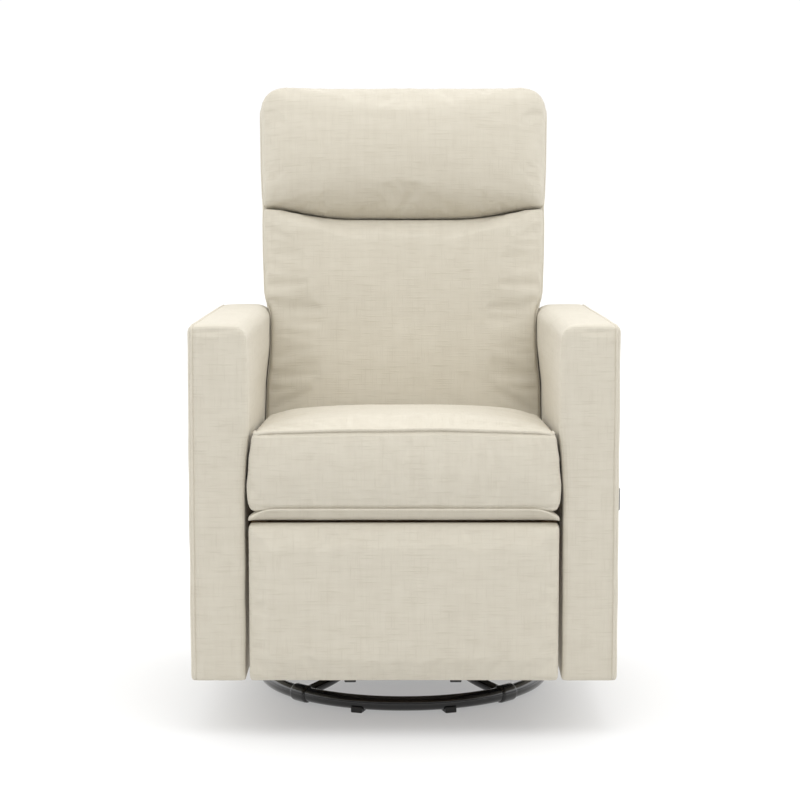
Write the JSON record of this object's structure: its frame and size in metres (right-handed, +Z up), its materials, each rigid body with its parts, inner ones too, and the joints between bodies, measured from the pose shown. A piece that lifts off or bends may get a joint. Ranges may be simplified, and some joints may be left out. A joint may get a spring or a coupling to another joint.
{
  "type": "glider nursery chair",
  "caption": "Upholstered armchair that glides and swivels on a round steel base, with a reclining padded back and a lifting footrest.",
  "frame": {"origin": "on the floor, on the swivel axis, at the bottom centre of the whole chair", "axes": "+Z up; the chair faces -Y; +X is the sitter's left-hand side, where the release handle is"},
  "size_m": [0.7075, 0.8494, 1.0882],
  "materials": {
    "linen": "matte",
    "black_steel": "gloss",
    "zinc_steel": "satin",
    "spring_steel": "satin",
    "hardwood": "matte",
    "plywood": "matte",
    "black_plastic": "matte"
  },
  "bodies": {
    "base": {"base_ring": "black_steel", "glide_pad_1": "black_plastic", "glide_pad_2": "black_plastic", "glide_pad_3": "black_plastic", "glide_pad_4": "black_plastic", "glide_pad_5": "black_plastic", "glide_pad_6": "black_plastic", "base_arm_1": "black_steel", "base_arm_2": "black_steel", "base_arm_3": "black_steel", "base_arm_4": "black_steel", "base_hub": "black_steel", "ball_race": "zinc_steel"},
    "swivel": {"swivel_plate": "black_steel", "pivot_bolt": "zinc_steel", "carriage_front_rail": "black_steel", "carriage_rear_rail": "black_steel", "carriage_side_left": "black_steel", "carriage_side_right": "black_steel"},
    "front_links": {"front_glide_link_left": "zinc_steel", "front_glide_link_right": "zinc_steel"},
    "rear_links": {"rear_glide_link_left": "zinc_steel", "rear_glide_link_right": "zinc_steel"},
    "chair": {"glide_rail_left": "black_steel", "glide_rail_right": "black_steel", "mechanism_plate_left": "black_steel", "mechanism_plate_right": "black_steel", "seat_front_rail": "hardwood", "seat_rear_rail": "hardwood", "seat_rail_left": "hardwood", "seat_rail_right": "hardwood", "seat_spring_1": "spring_steel", "seat_spring_2": "spring_steel", "seat_spring_3": "spring_steel", "seat_cushion": "linen", "arm_cover_left": "linen", "arm_cover_right": "linen", "arm_board_left": "plywood", "arm_board_right": "plywood", "rear_panel": "linen", "handle_cup": "black_plastic"},
    "back": {"back_bracket_left": "zinc_steel", "back_bracket_right": "zinc_steel", "back_stile_left": "hardwood", "back_stile_right": "hardwood", "back_bottom_rail": "hardwood", "back_top_rail": "hardwood", "lumbar_pad": "linen", "head_pad": "linen", "back_cover": "linen"},
    "footrest_lower": {"footrest_lower_link_left": "zinc_steel", "footrest_lower_link_right": "zinc_steel", "footrest_cross_tube": "black_steel"},
    "footrest_upper": {"footrest_upper_link_left": "zinc_steel", "footrest_upper_link_right": "zinc_steel"},
    "footrest_panel": {"footrest_pad": "linen", "footrest_board": "plywood", "footrest_bracket_left": "zinc_steel", "footrest_bracket_right": "zinc_steel"},
    "release_handle": {"release_handle": "black_plastic"}
  },
  "joints": [
    {"name": "swivel_turn", "type": "hinge", "parent": "base", "child": "swivel", "pos_m": [0, 0, 0.07], "axis": [0, 0, 1], "continuous": true},
    {"name": "glide", "type": "hinge", "parent": "swivel", "child": "front_links", "pos_m": [0, -0.13, 0.255], "axis": [1, 0, 0], "range_deg": [-20, 20]},
    {"name": "glide_rear_link", "type": "hinge", "parent": "swivel", "child": "rear_links", "pos_m": [0, 0.13, 0.255], "axis": [1, 0, 0], "range_deg": [-20.5, 20.5]},
    {"name": "glide_level", "type": "hinge", "parent": "front_links", "child": "chair", "pos_m": [0, -0.13, 0.125], "axis": [1, 0, 0], "range_deg": [-20.5, 20.5]},
    {"name": "back_recline", "type": "hinge", "parent": "chair", "child": "back", "pos_m": [0, 0.17, 0.36], "axis": [-1, 0, 0], "range_deg": [0, 35]},
    {"name": "footrest_lift", "type": "hinge", "parent": "chair", "child": "footrest_lower", "pos_m": [0, -0.264, 0.3035], "axis": [-1, 0, 0], "range_deg": [0, 78]},
    {"name": "footrest_elbow", "type": "hinge", "parent": "footrest_lower", "child": "footrest_upper", "pos_m": [0, -0.3035, 0.11765], "axis": [-1, 0, 0], "range_deg": [-117, 0.5]},
    {"name": "footrest_tilt", "type": "hinge", "parent": "footrest_upper", "child": "footrest_panel", "pos_m": [0, -0.37533, 0.31499], "axis": [-1, 0, 0], "range_deg": [-0.5, 124]},
    {"name": "handle_pull", "type": "hinge", "parent": "chair", "child": "release_handle", "pos_m": [0.352, -0.372, 0.391], "axis": [0, 0, -1], "range_deg": [0, 30], "stiffness_Nm_per_rad": 0.3}
  ],
  "couplings": [
    {"joint": "glide_rear_link", "follows": "glide", "ratio": 1},
    {"joint": "glide_level", "follows": "glide", "ratio": -1},
    {"joint": "footrest_elbow", "follows": "footrest_lift", "ratio": -1.4872},
    {"joint": "footrest_tilt", "follows": "footrest_lift", "ratio": 1.5769}
  ]
}
